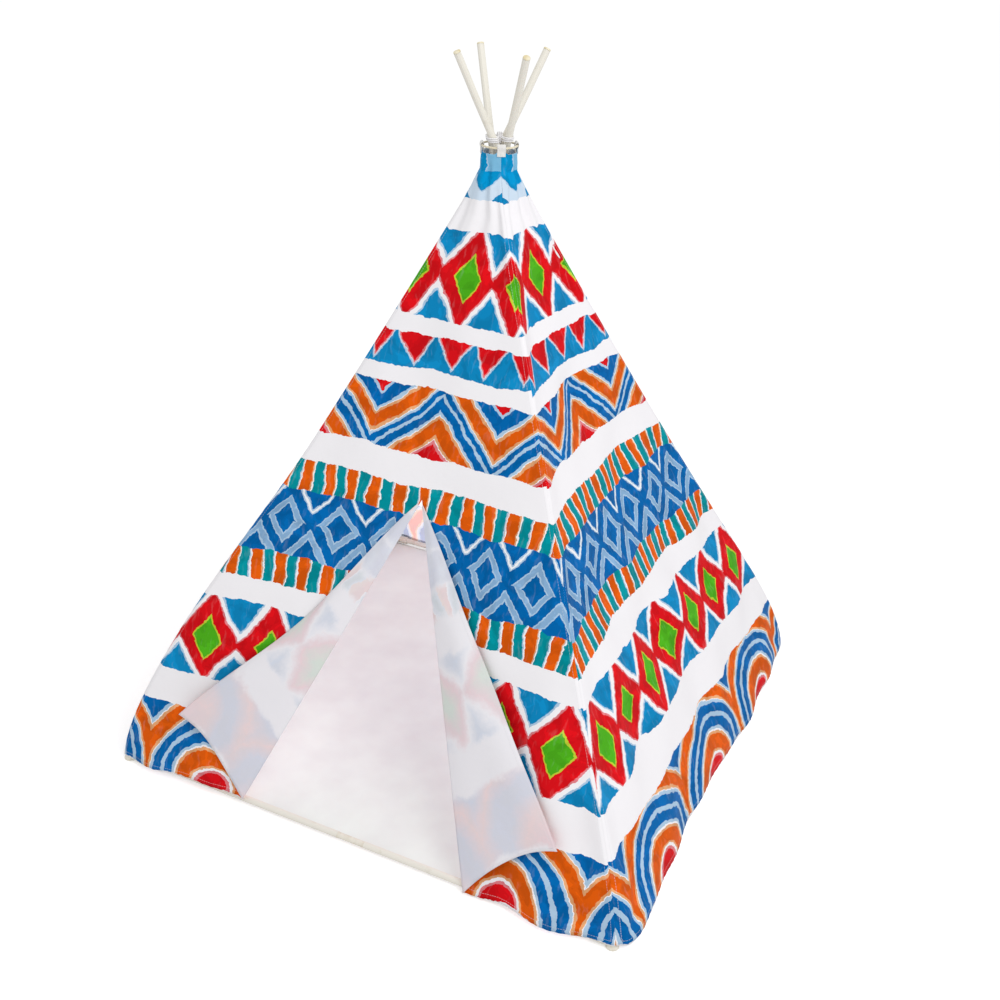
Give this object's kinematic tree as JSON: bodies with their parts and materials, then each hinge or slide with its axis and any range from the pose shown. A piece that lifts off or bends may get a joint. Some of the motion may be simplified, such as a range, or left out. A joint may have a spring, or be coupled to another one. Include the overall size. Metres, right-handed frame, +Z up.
{
  "type": "kids teepee",
  "caption": "Square play teepee: jointed poles crossing above a neck ring, a base frame, a floor and a printed cover with a triangular doorway whose flaps fold back.",
  "frame": {"origin": "on the ground, under the middle of the base and of the crossing poles", "axes": "+Z up, -Y towards the front with the doorway, +X to the right as seen from the front"},
  "size_m": [1.0636, 1.0636, 1.3176],
  "materials": {
    "pole_paint": "satin cream paint on steel tube",
    "coupling_plastic": "moulded ivory plastic",
    "cap_plastic": "moulded tan plastic",
    "cover_fabric": "smooth printed polyester, banded folk pattern on white",
    "flap_fabric": "smooth printed polyester, its pale reverse outward",
    "floor_fabric": "plain white polyester",
    "sleeve_fabric": "plain white polyester tunnel",
    "tab_webbing": "woven white tape",
    "ring_metal": "cream coated wire",
    "lashing_cord": "twisted white cord"
  },
  "bodies": {
    "tent": {"pole_lower_front_right": "pole_paint", "pole_lower_back_right": "pole_paint", "pole_lower_back_left": "pole_paint", "pole_lower_front_left": "pole_paint", "pole_middle_front_right": "pole_paint", "pole_middle_back_right": "pole_paint", "pole_middle_back_left": "pole_paint", "pole_middle_front_left": "pole_paint", "pole_upper_front_right": "pole_paint", "pole_upper_back_right": "pole_paint", "pole_upper_back_left": "pole_paint", "pole_upper_front_left": "pole_paint", "pole_coupling_lower_front_right": "coupling_plastic", "pole_coupling_lower_back_right": "coupling_plastic", "pole_coupling_lower_back_left": "coupling_plastic", "pole_coupling_lower_front_left": "coupling_plastic", "pole_coupling_upper_front_right": "coupling_plastic", "pole_coupling_upper_back_right": "coupling_plastic", "pole_coupling_upper_back_left": "coupling_plastic", "pole_coupling_upper_front_left": "coupling_plastic", "pole_cap_front_right": "cap_plastic", "pole_cap_back_right": "cap_plastic", "pole_cap_back_left": "cap_plastic", "pole_cap_front_left": "cap_plastic", "corner_connector_front_right": "coupling_plastic", "corner_connector_back_right": "coupling_plastic", "corner_connector_back_left": "coupling_plastic", "corner_connector_front_left": "coupling_plastic", "base_bar_front_a": "pole_paint", "base_bar_front_b": "pole_paint", "base_bar_right_a": "pole_paint", "base_bar_right_b": "pole_paint", "base_bar_back_a": "pole_paint", "base_bar_back_b": "pole_paint", "base_bar_left_a": "pole_paint", "base_bar_left_b": "pole_paint", "base_bar_coupling_front": "coupling_plastic", "base_bar_coupling_right": "coupling_plastic", "base_bar_coupling_back": "coupling_plastic", "base_bar_coupling_left": "coupling_plastic", "cover_panel_front": "cover_fabric", "cover_panel_right": "cover_fabric", "cover_panel_back": "cover_fabric", "cover_panel_left": "cover_fabric", "floor_sheet": "floor_fabric", "pole_sleeve_front_right": "sleeve_fabric", "pole_sleeve_back_right": "sleeve_fabric", "pole_sleeve_back_left": "sleeve_fabric", "pole_sleeve_front_left": "sleeve_fabric", "top_ring": "ring_metal", "ring_tab_front_right": "tab_webbing", "ring_tab_back_right": "tab_webbing", "ring_tab_back_left": "tab_webbing", "ring_tab_front_left": "tab_webbing", "lashing_cord": "lashing_cord"},
    "door_flap_left": {"door_flap_left": "flap_fabric"},
    "door_flap_right": {"door_flap_right": "flap_fabric"}
  },
  "joints": [
    {"name": "door_flap_left_fold", "type": "hinge", "parent": "tent", "child": "door_flap_left", "pos_m": [-0.234, -0.51994, 0.01237], "axis": [0.3463, 0.385, 0.8555], "range_deg": [0, 170]},
    {"name": "door_flap_right_fold", "type": "hinge", "parent": "tent", "child": "door_flap_right", "pos_m": [0.234, -0.51994, 0.01237], "axis": [0.3463, -0.385, -0.8555], "range_deg": [0, 170]}
  ]
}
